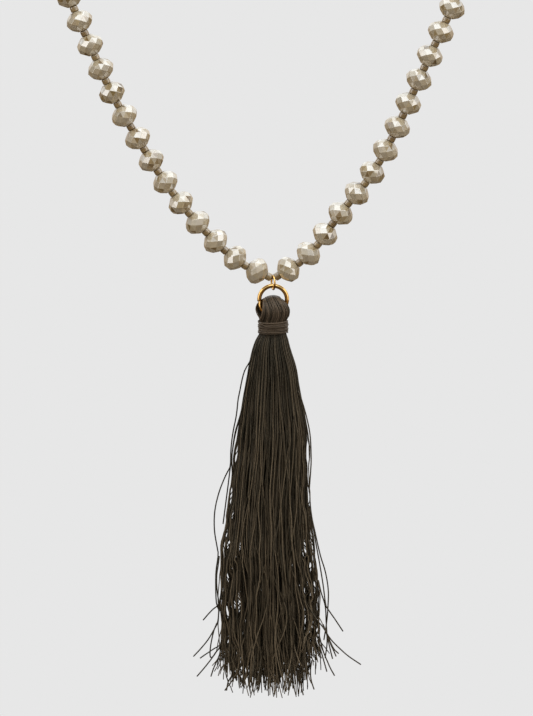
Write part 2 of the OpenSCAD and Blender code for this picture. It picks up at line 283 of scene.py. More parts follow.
def lustred_pressed_glass(settings):
    """Opaque soda glass, pressed and fire polished, under a thin fired metal lustre: each
    facet mirrors the studio over a milky body, and no two beads are quite one shade."""
    material, tree, out = new_material("lustred_pressed_glass")
    place = add_node(tree, "ShaderNodeTexCoord").outputs["Object"]
    shape = add_node(tree, "ShaderNodeNewGeometry")
    bead = shape.outputs["Random Per Island"]
    body = add_node(tree, "ShaderNodeMix", {"Factor": bead, "A": settings.dark, "B": settings.light},
                    data_type="RGBA")
    # The lustre took differently on each facet, so each facet has its own shade
    facing = add_node(tree, "ShaderNodeVectorTransform", {"Vector": shape.outputs["True Normal"]},
                      vector_type="NORMAL", convert_from="WORLD", convert_to="OBJECT")
    facet = add_node(tree, "ShaderNodeVectorMath", {0: facing.outputs["Vector"], 1: (0.2, 0.2, 0.2)},
                     operation="SNAP")
    chance = add_node(tree, "ShaderNodeTexWhiteNoise", {"Vector": facet.outputs["Vector"], "W": bead},
                      noise_dimensions="4D")
    took = add_node(tree, "ShaderNodeMath", {0: chance.outputs["Value"], 1: 0.35}, operation="POWER")
    shade = add_node(tree, "ShaderNodeMapRange", {"Value": took.outputs["Value"], "From Min": 0.2,
                                                  "To Min": 0.35, "To Max": 1.2})
    lustre = add_node(tree, "ShaderNodeMapRange", {"Value": took.outputs["Value"], "From Min": 0.3,
                                                   "From Max": 0.8, "To Min": 0.25, "To Max": 1.0})
    # Painted refraction: cells of about 2 mm vary the colour, as if back facets showed through the glass
    cells = add_node(tree, "ShaderNodeTexVoronoi", {"Vector": place, "Scale": per_metre(2.0)})
    cell = add_node(tree, "ShaderNodeSeparateColor", {"Color": cells.outputs["Color"]})
    depth = add_node(tree, "ShaderNodeMapRange", {"Value": cell.outputs["Red"], "To Min": 0.88,
                                                  "To Max": 1.1})
    both = add_node(tree, "ShaderNodeMath", {0: shade.outputs["Result"], 1: depth.outputs["Result"]},
                    operation="MULTIPLY")
    cut = add_node(tree, "ShaderNodeVectorMath", {0: body.outputs["Result"], "Scale": both.outputs["Value"]},
                   operation="SCALE")
    # Painted shade: ambient occlusion darkens the colour round the hole, behind the seed bead
    hole = add_node(tree, "ShaderNodeAmbientOcclusion", {"Distance": 2.6 * MM})
    painted_hole_shade = add_node(tree, "ShaderNodeMapRange", {"Value": hole.outputs["AO"], "From Min": 0.45,
                                                 "From Max": 0.85, "To Min": 0.2, "To Max": 1.0})
    rim = add_node(tree, "ShaderNodeVectorMath", {0: cut.outputs["Vector"], "Scale": painted_hole_shade.outputs["Result"]},
                   operation="SCALE")
    # The painted shade round the hole also thins the lustre's coat
    glance = add_node(tree, "ShaderNodeMath", {0: lustre.outputs["Result"], 1: painted_hole_shade.outputs["Result"]},
                      operation="MULTIPLY")
    # Where the lustre took well, its silvery film hides most of the glass's own colour
    film = add_node(tree, "ShaderNodeMapRange", {"Value": glance.outputs["Value"], "From Min": 0.3,
                                                 "To Min": 0.0, "To Max": 0.78})
    veiled = add_node(tree, "ShaderNodeMix", {"Factor": film.outputs["Result"], "A": rim.outputs["Vector"],
                                              "B": linear("#ADA495")}, data_type="RGBA")
    # Faint clouds in the fired lustre, about 2 mm across
    clouds = add_node(tree, "ShaderNodeTexNoise", {"Vector": place, "Scale": per_metre(2.2), "Detail": 3.0})
    clouded = add_node(tree, "ShaderNodeMix", {"Factor": clouds.outputs["Fac"],
                                               "A": veiled.outputs["Result"], "B": linear("#C9BFA8")},
                       data_type="RGBA", blend_type="SOFT_LIGHT")
    # The polish leaves each facet a little wavy, about 1.5 mm from crest to crest
    waves = add_node(tree, "ShaderNodeTexNoise", {"Vector": place, "Scale": per_metre(1.5), "Detail": 1.0})
    wavy = add_node(tree, "ShaderNodeBump", {"Height": waves.outputs["Fac"], "Strength": 0.12,
                                             "Distance": 0.1 * MM})
    # Soda glass at 1.52 under an iron lustre at 2.6, which gives it its metallic glance
    shader = add_node(tree, "ShaderNodeBsdfPrincipled", {
        "Base Color": clouded.outputs["Result"], "Normal": wavy.outputs["Normal"], "Roughness": 0.25,
        "IOR": 1.52, "Coat Weight": glance.outputs["Value"], "Coat Roughness": 0.04, "Coat IOR": 2.6,
        "Coat Normal": wavy.outputs["Normal"]})
    tree.links.new(shader.outputs["BSDF"], out.inputs["Surface"])
    return material


def lustred_drawn_glass(settings):
    """Drawn glass cane cut short and tumbled round, lustred a warm taupe: small, soft-edged
    and bright where it faces the light."""
    material, tree, out = new_material("lustred_drawn_glass")
    bead = add_node(tree, "ShaderNodeNewGeometry").outputs["Random Per Island"]
    body = add_node(tree, "ShaderNodeMix", {"Factor": bead, "A": settings.seed, "B": linear("#9A8055")},
                    data_type="RGBA")
    shader = add_node(tree, "ShaderNodeBsdfPrincipled", {
        "Base Color": body.outputs["Result"], "Roughness": 0.3, "IOR": 1.52,
        "Coat Weight": 1.0, "Coat Roughness": 0.05, "Coat IOR": 1.9})
    tree.links.new(shader.outputs["BSDF"], out.inputs["Surface"])
    return material


def twisted_thread(name, dark, light, glint, roughness, ply):
    """Thread spun of fine filaments and twisted in plies. Its colour follows each thread's tone, which
    varies from one thread to the next and on the skirt carries painted shade along it, and the plies show as
    slanting grooves, one every ply millimetres, each with painted shade in it. Its filaments tint the light
    they mirror."""
    material, tree, out = new_material(name)
    tone = add_node(tree, "ShaderNodeAttribute", attribute_name="tone").outputs["Fac"]
    # UV holds millimetres along the thread and turns round it
    place = add_node(tree, "ShaderNodeSeparateXYZ",
                     {"Vector": add_node(tree, "ShaderNodeUVMap", uv_map="along").outputs["UV"]})
    turns = add_node(tree, "ShaderNodeMath", {0: place.outputs["X"], 1: 1 / ply, 2: place.outputs["Y"]},
                     operation="MULTIPLY_ADD")
    phase = add_node(tree, "ShaderNodeMath", {0: turns.outputs["Value"], 1: 2 * math.pi},
                     operation="MULTIPLY")
    groove = add_node(tree, "ShaderNodeMath", {0: phase.outputs["Value"]}, operation="SINE")
    body = add_node(tree, "ShaderNodeMix", {"Factor": tone, "A": dark, "B": light}, data_type="RGBA")
    # Painted shade: the colour darkens to 0.86 of itself in each groove between the plies
    depth = add_node(tree, "ShaderNodeMapRange", {"Value": groove.outputs["Value"], "From Min": -1.0,
                                                  "To Min": 0.86, "To Max": 1.0})
    painted_groove_shade = add_node(tree, "ShaderNodeMix", {"Factor": 1.0, "A": body.outputs["Result"],
                                              "B": depth.outputs["Result"]},
                      data_type="RGBA", blend_type="MULTIPLY")
    plied = add_node(tree, "ShaderNodeBump", {"Height": groove.outputs["Value"], "Strength": 0.35,
                                              "Distance": 0.03 * MM})
    shader = add_node(tree, "ShaderNodeBsdfPrincipled", {
        "Base Color": painted_groove_shade.outputs["Result"], "Normal": plied.outputs["Normal"], "Roughness": roughness,
        "Specular Tint": glint})
    tree.links.new(shader.outputs["BSDF"], out.inputs["Surface"])
    return material


def gold_plated_wire(settings):
    """Brass wire drawn through a die, bent to a ring, plated with yellow gold and polished:
    a clear mirror with faint lines along the wire."""
    material, tree, out = new_material("gold_plated_wire")
    place = add_node(tree, "ShaderNodeUVMap", uv_map="along").outputs["UV"]
    # Drawing lines, coarser than real ones so that they can show: 24 round the wire, and so about
    # 0.1 mm apart, and some 2.5 mm long
    stretched = add_node(tree, "ShaderNodeMapping", {"Vector": place, "Scale": (0.4, 24.0, 1.0)})
    lines = add_node(tree, "ShaderNodeTexNoise", {"Vector": stretched.outputs["Vector"], "Scale": 1.0})
    rough = add_node(tree, "ShaderNodeMapRange", {"Value": lines.outputs["Fac"], "To Min": 0.08,
                                                  "To Max": 0.16})
    drawn = add_node(tree, "ShaderNodeBump", {"Height": lines.outputs["Fac"], "Strength": 0.05,
                                              "Distance": 0.01 * MM})
    shader = add_node(tree, "ShaderNodeBsdfPrincipled", {
        "Base Color": settings.gold, "Metallic": 1.0, "Roughness": rough.outputs["Result"],
        "Normal": drawn.outputs["Normal"]})
    tree.links.new(shader.outputs["BSDF"], out.inputs["Surface"])
    return material


def seamless_paper(settings, radius):
    """Matt coated background paper, a warm white that looks neutral in the cool light from
    above. It thins out to nothing towards the edge of the sweep."""
    material, tree, out = new_material("seamless_paper")
    place = add_node(tree, "ShaderNodeTexCoord").outputs["Object"]
    away = add_node(tree, "ShaderNodeVectorMath", {0: place}, operation="LENGTH")
    edge = add_node(tree, "ShaderNodeMapRange", {"Value": away.outputs["Value"], "From Min": 0.45 * radius,
                                                 "From Max": radius}, interpolation_type="SMOOTHSTEP")
    # The paper's tooth, coarser than the real one so that it can show
    fibre = add_node(tree, "ShaderNodeTexNoise", {"Vector": place, "Scale": per_metre(1.2), "Detail": 4.0})
    tooth = add_node(tree, "ShaderNodeBump", {"Height": fibre.outputs["Fac"], "Strength": 0.1,
                                              "Distance": 0.05 * MM})
    paper = add_node(tree, "ShaderNodeBsdfPrincipled", {"Base Color": settings.floor, "Roughness": 0.9,
                                                        "Normal": tooth.outputs["Normal"]})
    clear = add_node(tree, "ShaderNodeBsdfTransparent")
    shown = add_node(tree, "ShaderNodeMixShader", {"Fac": edge.outputs["Result"]})
    tree.links.new(paper.outputs["BSDF"], shown.inputs[1])
    tree.links.new(clear.outputs["BSDF"], shown.inputs[2])
    tree.links.new(shown.outputs["Shader"], out.inputs["Surface"])
    return material


def smooth_line(points, steps=ROUTE_STEPS):
    """A smooth curve through points, which runs straight on at both ends."""
    points = np.asarray(points, float)
    guides = np.vstack([2 * points[0] - points[1], points, 2 * points[-1] - points[-2]])
    t = np.linspace(0, 1, steps, endpoint=False)[:, None]
    parts = [b + t / 2 * (c - a) + t ** 2 / 2 * (2 * a - 5 * b + 4 * c - d)
             + t ** 3 / 2 * (3 * b - a - 3 * c + d)
             for a, b, c, d in zip(guides, guides[1:], guides[2:], guides[3:])]
    return np.vstack(parts + [points[-1:]])


def measured(line):
    """The distance of each point of a line from its start."""
    return np.concatenate([[0], np.cumsum(np.linalg.norm(np.diff(line, axis=0), axis=1))])


def evenly(line, count):
    """A line again, through count points evenly apart."""
    far = measured(line)
    wanted = np.linspace(0, far[-1], count)
    return np.stack([np.interp(wanted, far, line[:, k]) for k in range(3)], axis=1)


def seed_places():
    """Where the seed beads sit on the thread: one on each side of every rondelle."""
    line = smooth_line(ROUTE)
    far = measured(line)
    first = (RING_ROOM + SEED_ROOM) / 2
    count = round((far[-1] - 2 * first) / (BEAD_LENGTH + SEED_ROOM))
    wanted = np.linspace(first, far[-1] - first, count + 1)
    return np.stack([np.interp(wanted, far, line[:, k]) for k in range(3)], axis=1)


def unit(vectors):
    """Vectors of length one."""
    return vectors / np.linalg.norm(vectors, axis=-1, keepdims=True)


def eased(share):
    """Runs from 0 to 1 with the share, slow at both ends."""
    share = np.clip(share, 0, 1)
    return share * share * (3 - 2 * share)


def finish_piece(name, vertices, faces, material, body):
    """Makes one piece from millimetre vertices: smooth shading, material and body."""
    mesh = bpy.data.meshes.new(name)
    mesh.from_pydata((vertices * MM).tolist(), [], faces)
    mesh.polygons.foreach_set("use_smooth", [True] * len(mesh.polygons))
    mesh.materials.append(material)
    mesh.update()
    piece = bpy.data.objects.new(name, mesh)
    bpy.context.scene.collection.objects.link(piece)
    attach(piece, body)
    return piece


def tubes(name, paths, radius, sides, hint, material, body, tones=None):
    """Round threads or wires along paths (threads x points x 3) as one mesh, cut off flat. No
    path runs along the hint, which carries their sides. The mesh holds each one's tone, and UV
    with mm along and turns round."""
    paths = np.asarray(paths, float)
    count, points, _ = paths.shape
    forward = unit(np.gradient(paths, axis=1))
    side = unit(np.cross(forward, hint))
    out = np.cross(forward, side)
    radii = np.full((count, points), radius)
    radii[:, [0, -1]] *= CUT_END
    turn = np.linspace(0, 2 * np.pi, sides, endpoint=False)
    ring = np.cos(turn)[:, None] * side[:, :, None, :] + np.sin(turn)[:, None] * out[:, :, None, :]
    vertices = (paths[:, :, None, :] + radii[:, :, None, None] * ring).reshape(-1, 3)
    first = (np.arange(count)[:, None, None] * points + np.arange(points - 1)[None, :, None]) * sides
    k = np.arange(sides)[None, None, :]
    after = (k + 1) % sides
    corners = (first + k, first + sides + k, first + sides + after, first + after)
    quads = np.stack(corners, axis=-1).reshape(-1, 4)
    starts = np.arange(count)[:, None] * points * sides + np.arange(sides)[None, :]
    ends = starts[:, ::-1] + (points - 1) * sides
    faces = quads.tolist() + starts.tolist() + ends.tolist()
    piece = finish_piece(name, vertices, faces, material, body)
    # Each thread's twist starts somewhere else, so that the twists don't line up
    far = np.concatenate([np.zeros((count, 1)),
                          np.cumsum(np.linalg.norm(np.diff(paths, axis=1), axis=2), axis=1)], axis=1)
    far += GOLDEN_STEP * np.arange(count)[:, None]
    low = np.broadcast_to(far[:, :-1, None], (count, points - 1, sides))
    high = np.broadcast_to(far[:, 1:, None], (count, points - 1, sides))
    here = np.broadcast_to(k / sides, low.shape)
    along = np.stack([np.stack([low, here], -1), np.stack([high, here], -1),
                      np.stack([high, here + 1 / sides], -1), np.stack([low, here + 1 / sides], -1)], axis=3)
    caps = np.zeros((2 * count * sides, 2))
    layer = piece.data.uv_layers.new(name="along")
    layer.data.foreach_set("uv", np.concatenate([along.reshape(-1, 2), caps]).astype(np.float32).ravel())
    tone = piece.data.attributes.new("tone", "FLOAT", "POINT")
    tones = np.full((count, 1), 0.5) if tones is None else np.reshape(tones, (count, -1))
    around = np.repeat(np.broadcast_to(tones, (count, points)), sides)
    tone.data.foreach_set("value", around.astype(np.float32))
    return piece


def lathed(name, profile, sides, places, axes, material, body):
    """Copies of one round bead as one mesh. Its profile is a closed outline of (along the
    hole, radius), and each copy stands at a place with its hole along an axis."""
    profile = np.asarray(profile, float)
    rows = len(profile)
    turn = np.linspace(0, 2 * np.pi, sides, endpoint=False)
    side = unit(np.cross(axes, STRAND_SIDE))
    out = np.cross(axes, side)
    ring = np.cos(turn)[None, :, None] * side[:, None, :] + np.sin(turn)[None, :, None] * out[:, None, :]
    vertices = (places[:, None, None, :] + profile[None, :, 0, None, None] * axes[:, None, None, :]
                + profile[None, :, 1, None, None] * ring[:, None, :, :]).reshape(-1, 3)
    row = np.arange(rows)[:, None] * sides
    below = np.roll(row, -1)
    k = np.arange(sides)[None, :]
    after = (k + 1) % sides
    one = np.stack([row + k, row + after, below + after, below + k], axis=-1).reshape(-1, 4)
    quads = (one[None] + (np.arange(len(places)) * rows * sides)[:, None, None]).reshape(-1, 4)
    return finish_piece(name, vertices, quads.tolist(), material, body)


def box_mm(node):
    """The lowest and highest corner of a frame node, in millimetres."""
    low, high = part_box(node)
    return np.array(low) / MM, np.array(high) / MM


class NECKLACE_OT_rondelles(bpy.types.Operator):
    """Polishes the edges of the faceted rondelles and gives them their lustred glass"""
    bl_idname = "necklace.rondelles"
    bl_label = "Glass Rondelles"

    def execute(self, context):
        settings = context.scene.necklace_glass
        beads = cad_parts["glass_beads"]
        weld = beads.modifiers.new("Join facets", "WELD")
        weld.merge_threshold = 0.002 * MM
        bevel = beads.modifiers.new("Polished edges", "BEVEL")
        bevel.width = settings.edge
        bevel.segments = 2
        bevel.limit_method = "ANGLE"
        bevel.angle_limit = math.radians(6)
        bevel.use_clamp_overlap = True
        beads.data.materials.clear()
        beads.data.materials.append(lustred_pressed_glass(settings))
        return {"FINISHED"}


class NECKLACE_OT_seed_beads(bpy.types.Operator):
    """Threads a seed bead on each side of every rondelle"""
    bl_idname = "necklace.seed_beads"
    bl_label = "Seed Beads"

    def execute(self, context):
        settings = context.scene.necklace_glass
        half = settings.seed_length / MM / 2
        outer = settings.seed_width / MM / 2
        bore = settings.seed_bore / MM / 2
        # Tumbling rounded each end over a fifth of the length, and the hole opens in a short funnel
        turn = np.radians(np.arange(0, 91, 18))
        edge = 0.4 * half
        curve = np.stack([half - edge + edge * np.sin(turn), outer - edge + edge * np.cos(turn)], axis=1)
        mouth = (outer + bore) / 2 - 0.1
        funnel = 0.12
        right = np.vstack([curve, [half, mouth], [half - funnel, bore]])
        left = right[::-1] * [-1, 1]
        sides = 20
        places = seed_places()
        ahead = np.vstack([places[1:], DROP]) - places
        behind = places - np.vstack([DROP, places[:-1]])
        lathed("seed_beads", np.vstack([right, left]), sides, places, unit(unit(ahead) + unit(behind)),
               lustred_drawn_glass(settings), "strand")
        return {"FINISHED"}


class NECKLACE_OT_thread(bpy.types.Operator):
    """Runs the thread through every bead and through the small ring"""
    bl_idname = "necklace.thread"
    bl_label = "Thread"

    def execute(self, context):
        settings = context.scene.necklace_glass
        knots = np.vstack([DROP, seed_places(), DROP])
        # Straight inside each bead, with a short bend at each seed bead
        stops = (0.0, 0.12, 0.5, 0.88)
        parts = [a + (b - a) * stop for a, b in zip(knots, knots[1:]) for stop in stops]
        path = np.vstack(parts + [knots[-1:]])
        sides = 10
        material = twisted_thread("beading_thread", settings.thread, settings.thread, linear("#DDD2BD"),
                                  roughness=0.6, ply=1.1)
        thread = tubes("strand_thread", path[None], settings.thread_width / MM / 2, sides, STRAND_SIDE,
                       material, "strand")
        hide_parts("bead_thread")
        return {"FINISHED"}


class NECKLACE_OT_jump_rings(bpy.types.Operator):
    """Bends the small and the large jump ring from gold plated wire, each with its cut"""
    bl_idname = "necklace.jump_rings"
    bl_label = "Jump Rings"

    def ring(self, name, node, wire, cut, cut_at, step, turn, body, material):
        """Bends one ring as large as its node. Its cut is at an angle, and it is turned about Z."""
        low, high = box_mm(node)
        centre = (low + high) / 2
        radius = (high - low)[2] / 2 - wire / 2
        half_cut = cut / 2 / radius
        points = 168
        angle = np.linspace(cut_at + half_cut, cut_at + 2 * np.pi - half_cut, points)
        # The lower end is bent in by the step, and the wire after it bulges out of the round
        bent = 0.58 * np.pi
        bulge = 14 * step
        way = np.clip((angle - angle[0]) / bent, 0, 1)
        reach = radius - step * (1 - way) ** 3 + bulge * way * (1 - way) ** 2 * np.sin(np.pi * way)
        # and it stands a little behind the upper one, as the ring was twisted open and shut
        behind = 2 * step * (1 - way) ** 2
        flat = np.stack([reach * np.cos(angle), behind, reach * np.sin(angle)], axis=1)
        spun = np.stack([flat[:, 0] * math.cos(turn) - flat[:, 1] * math.sin(turn),
                         flat[:, 0] * math.sin(turn) + flat[:, 1] * math.cos(turn), flat[:, 2]], axis=1)
        normal = (-math.sin(turn), math.cos(turn), 0)
        # The narrowed cut face follows so closely that it makes a small bevel, without a burr
        bevel = 0.08
        start = spun[:1] + bevel * (spun[:1] - spun[1:2])
        end = spun[-1:] + bevel * (spun[-1:] - spun[-2:-1])
        path = centre + np.vstack([start, spun, end])
        sides = 24
        piece = tubes(name, path[None], wire / 2, sides, normal, material, body)
        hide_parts(node)
        return piece

    def execute(self, context):
        settings = context.scene.necklace_rings
        gold = gold_plated_wire(settings)
        low, high = box_mm("tassel_ring")
        wire = (high - low)[1]
        cut = settings.cut / MM
        # The large ring's cut is on the wearer's right, and the small one's near the bottom
        self.ring("large_jump_ring", "tassel_ring", wire, cut, math.radians(188), settings.step / MM, 0,
                  "drop", gold)
        self.ring("small_jump_ring", "connecting_ring", settings.link_wire / MM, cut, math.radians(255), 0.0,
                  math.radians(90) + settings.link_turn, "link", gold)
        return {"FINISHED"}


def hanging_rayon(settings):
    """The tassel's thread where it hangs, made once for all such pieces."""
    name = "twisted_rayon"
    return bpy.data.materials.get(name) or twisted_thread(
        name, settings.dark, settings.light, linear("#DDD2BD"), roughness=0.42, ply=1.4)


def bent_rayon(settings):
    """The same thread where it is bent over the ring or wound tight, and looks browner."""
    name = "twisted_rayon_bent"
    return bpy.data.materials.get(name) or twisted_thread(
        name, settings.dark, settings.bent, linear("#DCC8B5"), roughness=0.42, ply=1.4)


def skirt_ends(across, rng):
    """Where each skirt thread ends, as a share of the way down, from how far across it hangs."""
    count = len(across)
    # The cut slants a little. Most threads fall some millimetres short of it, and more at the sides.
    longest = 1.012 - 0.008 * across
    uneven = 0.082 + 0.02 * np.abs(across)
    ends = longest - uneven * rng.random(count) ** 0.72
    # A few are much shorter
    ends -= 0.12 * rng.random(count) ** 8
    # The outermost threads end higher, most of all on the wearer's left
    edge = 0.7
    left = 0.045 * np.clip((across - edge) / (1 - edge), 0, 1)
    right = 0.02 * np.clip((-across - edge) / (1 - edge), 0, 1)
    return ends - (left + right)


def wave_threads(path, down, drop_length, steady, rng):
    """Sways every skirt thread across and fore and aft. The steady ones sway half as far."""
    count = len(path)
    loose = np.clip(down, 0, 1)
    for swing, shortest, longest, growth in WAVES:
        for axis in (0, 1):
            wave = rng.uniform(shortest, longest, count)[:, None]
            phase = rng.uniform(0, 2 * np.pi, count)[:, None]
            size = swing * (rng.normal(1, 0.35, count) * np.where(steady, 0.5, 1))[:, None] * loose ** growth
            path[:, :, axis] += size * np.sin(2 * np.pi * down * drop_length / wave + phase)


def roam_threads(path, down, azimuth, drop_length, combed):
    """Lets about one in five of the combed threads roam over the others, and returns which do."""
    rng = np.random.default_rng(23)
    count = len(path)
    roams = combed & (rng.random(count) < 0.22)
    wave = rng.uniform(30, 64, count)[:, None]
    phase = rng.uniform(0, 2 * np.pi, count)[:, None]
    # They leave their places a quarter of the way down, by up to 2.6 mm in front and behind
    reached = 2.6 * np.clip((down - 0.25) / 0.45, 0, 1) * np.abs(np.sin(azimuth))
    path[:, :, 0] += roams[:, None] * reached * np.sin(2 * np.pi * down * drop_length / wave + phase)
    return roams


def part_threads(path, down, drop_length, middle, half_width, rng):
    """Opens the partings: the threads round each are pushed together, and a few still cross it."""
    beside = rng.random(len(path)) > 0.04
    # Threads within this many mm of a parting make room for it
    reach = 3.0
    # Share of the way down in which a parting starts or ends
    ramp = 0.05
    for place, gap, first, last, wave in PARTINGS:
        # It opens for half a wave and closes for the other half, not level with the one beside it
        opening = np.sin(2 * np.pi * (down * drop_length / wave + 5 * place))
        window = np.clip((down - first) / ramp, 0, 1) * np.clip((last - down) / ramp, 0, 1)
        opened = gap * np.clip(1.6 * opening, 0, 1) * window * beside[:, None]
        off = path[:, :, 0] - (middle + place * half_width)
        pushed = np.where(off < 0, -1, 1) * (opened + np.abs(off) * (1 - opened / reach)) - off
        path[:, :, 0] += np.where(np.abs(off) < reach, pushed, 0)


def skirt_tones_and_painted_shade(down, azimuth, combed, roams, rng):
    """How brightly each skirt thread catches the light along its length."""
    count = len(down)
    # One thread in four is bright, and so are those that roam. Round the outside the bright ones
    # lie evenly between the dark ones.
    halfway = down.shape[1] // 2
    order = np.argsort(np.argsort(azimuth[combed, halfway] % (2 * np.pi)))
    bright = rng.random(count) < 0.25
    bright[combed] = order % 4 == 0
    tones = np.clip(np.where(bright, rng.normal(1.0, 0.1, count), rng.normal(0.2, 0.13, count)), 0, 1)
    tones = np.where(roams, np.maximum(tones, 0.6), tones)
    # Painted shade and light: each thread is darker near the neck, where they are packed tight, and brighter
    # towards its end
    return np.clip(tones[:, None] * np.interp(down, (0, 0.25, 0.6, 1), (0.45, 0.88, 1.15, 1.9)), 0, 1)


class NECKLACE_OT_skirt(bpy.types.Operator):
    """Hangs the skirt's threads, each one a tube with its own path, length and tone"""
    bl_idname = "necklace.skirt"
    bl_label = "Tassel Skirt"

    def execute(self, context):
        settings = context.scene.necklace_tassel
        rng = np.random.default_rng(11)
        count = settings.skirt_threads
        top = box_mm("neck_binding")[0][2]
        low, high = box_mm("tassel")
        drop_length = top - low[2]
        # The outermost threads lie just outside the solid
        widest = (high - low)[0] / 2 * 1.02
        deepest = (high - low)[1] / 2
        # Places run from the middle out, a golden angle from one to the next. The last part lies
        # combed side by side round the outside, and the rest fills the middle more loosely.
        index = np.arange(count)
        turned = math.pi * (3 - math.sqrt(5)) * index
        rank = (index + 0.5) / count
        combed = rank > 0.55
        # How far out each lies, as a share: packed evenly at the neck, and in its own place below
        neck_share = 0.96 * np.sqrt(rank)
        free_share = np.where(combed, rng.uniform(0.86, 1.0, count), 0.9 * np.sqrt(rng.random(count)))
        # How far round each swings on the way down, in radians. Half of the combed threads cross their
        # neighbours, and the others stay by them.
        crossing = rng.random(count) < 0.5
        swing = rng.normal(0, 1, count) * np.where(combed, np.where(crossing, 0.65, 0.15), 0.5)
        # More threads lie in front and behind than at the sides, which the light gets through
        thinned = 0.22 * np.sin(2 * turned)
        ends = skirt_ends(free_share * np.cos(turned + swing + thinned), rng)
        # Each starts a little way up inside the binding
        points = 72
        t = np.linspace(-0.025, 1, points)[None, :] * np.ones((count, 1))
        down = np.where(t > 0, t * ends[:, None], t)
        table = smooth_line(SKIRT, 6)
        half_width = widest * np.interp(down, table[:, 0], table[:, 1])
        half_depth = deepest * np.interp(down, table[:, 0], table[:, 1])
        middle = DROP[0] - np.interp(down, table[:, 0], table[:, 2])
        # Over the first 0.6 of the way they go from the neck's order to their own places
        mixed = eased(down / 0.6)
        share = neck_share[:, None] * (1 - mixed) + free_share[:, None] * mixed
        azimuth = turned[:, None] + swing[:, None] * np.clip(down, 0, 1) ** 0.8 + mixed * thinned[:, None]
        path = np.stack([
            middle + half_width * share * np.cos(azimuth),
            DROP[1] + half_depth * share * np.sin(azimuth),
            top - down * drop_length,
        ], axis=-1)
        wave_threads(path, down, drop_length, combed & ~crossing, rng)
        roams = roam_threads(path, down, azimuth, drop_length, combed)
        part_threads(path, down, drop_length, middle, half_width, rng)
        # The last centimetre of some threads flicks to a side
        flick = rng.normal(0, 1.6, (count, 2)) * (rng.random((count, 1)) < 0.6)
        tail = np.clip((t - 0.88) / 0.12, 0, 1) ** 2
        path[:, :, :2] += tail[:, :, None] * flick[:, None, :]
        tones = skirt_tones_and_painted_shade(down, azimuth, combed, roams, rng)
        # As the places run from the middle out, so do the three pieces
        third = math.ceil(count / 3)
        radius = settings.thread_width / MM / 2
        sides = 5
        for place, name in enumerate(("skirt_threads_inner", "skirt_threads_middle", "skirt_threads_outer")):
            part = slice(place * third, (place + 1) * third)
            piece = tubes(name, path[part], radius, sides, ACROSS, hanging_rayon(settings), "drop",
                          tones[part])
            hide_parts("tassel")
        return {"FINISHED"}


class NECKLACE_OT_strays(bpy.types.Operator):
    """Adds the threads that stand away from the skirt"""
    bl_idname = "necklace.strays"
    bl_label = "Stray Threads"

    def execute(self, context):
        settings = context.scene.necklace_tassel
        count = 60
        paths = []
        for points, front in STRAYS:
            line = smooth_line([DROP + [x, -front, z] for x, z in points], 6)
            paths.append(evenly(line, count))
        # Alone against the backdrop they look dark, and a little thicker than the others
        tones = np.linspace(0.05, 0.4, len(paths))
        radius = settings.thread_width / MM / 2 * 1.3
        sides = 6
        piece = tubes("stray_threads", paths, radius, sides, FORE_AFT, hanging_rayon(settings), "drop",
                      tones)
        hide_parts("tassel")
        return {"FINISHED"}


class NECKLACE_OT_head(bpy.types.Operator):
    """Folds the head's threads over the large ring, in layers, front to back"""
    bl_idname = "necklace.head"
    bl_label = "Tassel Head"

    def execute(self, context):
        settings = context.scene.necklace_tassel
        rng = np.random.default_rng(5)
        waist = box_mm("neck_binding")[1][2]
        height = box_mm("tassel")[1][2] - waist
        shapes = smooth_line(HEAD, 4)
        rise = np.clip(shapes[:, 0], 0, 1)
        # Just past the outermost threads, so that they still have some depth
        widest = 1.05 * np.abs(shapes[:, 1:5]).max(axis=1)
        # The fold's outermost threads lie this far under the middle ones, at this distance from them
        sag = 1.3
        sag_at = 3.3
        points = 56
        paths = []
        tones = []
        # Outer layer first: how far each layer lies inside the first in mm, and how far its fold
        # leans to the wearer's right, as a share of the half width
        for inside, lean in ((0.0, 0.45), (0.35, 0.15), (0.7, 0.0)):
            for place in np.linspace(-1, 1, settings.head_threads):
                # From its place at the waist each thread runs to its own place in the fold
                fold = np.clip(place - lean + rng.normal(0, 0.07), -1, 1)
                order = place + (fold - place) * rise ** 1.6 + rng.normal(0, 0.02)
                halves = []
                # The columns of HEAD for the front and for the back
                for right, left, sign in ((1, 2, -1), (3, 4, 1)):
                    x = shapes[:, right] + (shapes[:, left] - shapes[:, right]) * (order + 1) / 2
                    x = x * (1 - 0.1 * inside) + 0.06 * rng.normal() * np.sin(np.pi * rise * 2)
                    y = sign * (shapes[:, 5] - 0.9 * inside) * np.sqrt(1 - np.clip(x / widest, -1, 1) ** 2)
                    z = waist + shapes[:, 0] * height - inside * rise ** 3
                    z -= sag * (x / sag_at) ** 2 * rise ** 6
                    halves.append(np.stack([x + DROP[0], y + DROP[1], z], axis=1))
                line = np.vstack([halves[0], halves[1][::-1][1:]])
                paths.append(evenly(line, points))
                tones.append(rng.normal(0.5, 0.4))
        # A little thicker than the skirt's, so that no gap shows between them
        radius = settings.thread_width / MM / 2 * 1.04
        sides = 6
        piece = tubes("head_threads", paths, radius, sides, ACROSS, bent_rayon(settings), "drop",
                      np.clip(tones, 0, 1))
        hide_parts("tassel")
        return {"FINISHED"}


